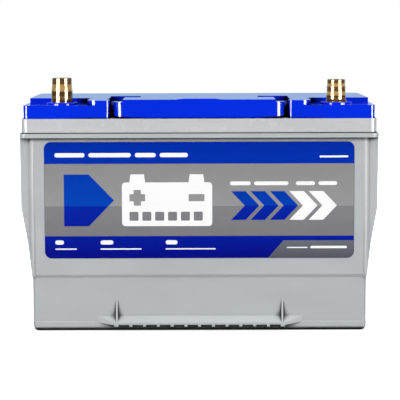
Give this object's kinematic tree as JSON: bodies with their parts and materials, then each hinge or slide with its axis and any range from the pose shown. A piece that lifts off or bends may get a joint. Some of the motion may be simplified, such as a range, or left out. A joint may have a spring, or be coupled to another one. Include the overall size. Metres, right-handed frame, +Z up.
{
  "type": "deep cycle battery",
  "caption": "Sealed 12 V deep cycle battery: grey container with end ribs and hold-down ledges, blue cover, folding carry handle, tapered posts and the cells inside.",
  "frame": {"origin": "centre of the base's footprint, on the plane the battery stands on", "axes": "+X along the length, towards the negative post; the label and the posts are on the -Y side; +Z up"},
  "size_m": [0.3174, 0.173, 0.2252],
  "materials": {
    "container_plastic": "grey polypropylene, fine mould texture, satin",
    "cover_grey_plastic": "light grey polypropylene, satin",
    "cover_blue_plastic": "bright blue polypropylene, glossy",
    "handle_blue_plastic": "bright blue polypropylene, glossy",
    "label_film": "printed polyester film, satin",
    "post_brass": "turned and polished",
    "bushing_lead": "matte cast lead",
    "strap_lead": "matte cast lead",
    "positive_plate": "lead dioxide paste on a lead grid, matte",
    "negative_plate": "sponge lead paste on a lead grid, matte",
    "glass_mat": "absorbent glass-fibre mat",
    "seal_rubber": "black rubber, matte",
    "valve_rubber": "black rubber, matte",
    "arrestor_frit": "porous sintered disc, matte"
  },
  "bodies": {
    "case": {"container": "container_plastic", "primary_cover": "cover_grey_plastic", "top_cover": "cover_blue_plastic", "label": "label_film", "positive_post": "post_brass", "negative_post": "post_brass", "positive_bushing": "bushing_lead", "negative_bushing": "bushing_lead", "positive_post_seal": "seal_rubber", "negative_post_seal": "seal_rubber", "left_flame_arrestor": "arrestor_frit", "right_flame_arrestor": "arrestor_frit", "vent_valve_1": "valve_rubber", "cell_1_positive_plates": "positive_plate", "cell_1_negative_plates": "negative_plate", "cell_1_separators": "glass_mat", "cell_1_positive_strap": "strap_lead", "cell_1_negative_strap": "strap_lead", "vent_valve_2": "valve_rubber", "cell_2_positive_plates": "positive_plate", "cell_2_negative_plates": "negative_plate", "cell_2_separators": "glass_mat", "cell_2_positive_strap": "strap_lead", "cell_2_negative_strap": "strap_lead", "vent_valve_3": "valve_rubber", "cell_3_positive_plates": "positive_plate", "cell_3_negative_plates": "negative_plate", "cell_3_separators": "glass_mat", "cell_3_positive_strap": "strap_lead", "cell_3_negative_strap": "strap_lead", "vent_valve_4": "valve_rubber", "cell_4_positive_plates": "positive_plate", "cell_4_negative_plates": "negative_plate", "cell_4_separators": "glass_mat", "cell_4_positive_strap": "strap_lead", "cell_4_negative_strap": "strap_lead", "vent_valve_5": "valve_rubber", "cell_5_positive_plates": "positive_plate", "cell_5_negative_plates": "negative_plate", "cell_5_separators": "glass_mat", "cell_5_positive_strap": "strap_lead", "cell_5_negative_strap": "strap_lead", "vent_valve_6": "valve_rubber", "cell_6_positive_plates": "positive_plate", "cell_6_negative_plates": "negative_plate", "cell_6_separators": "glass_mat", "cell_6_positive_strap": "strap_lead", "cell_6_negative_strap": "strap_lead", "intercell_weld_1": "strap_lead", "intercell_weld_2": "strap_lead", "intercell_weld_3": "strap_lead", "intercell_weld_4": "strap_lead", "intercell_weld_5": "strap_lead"},
    "carry_handle": {"handle": "handle_blue_plastic"}
  },
  "joints": [
    {"name": "handle_fold", "type": "hinge", "parent": "case", "child": "carry_handle", "pos_m": [0, 0, 0.1969], "axis": [-1, 0, 0], "range_deg": [0, 120]}
  ]
}
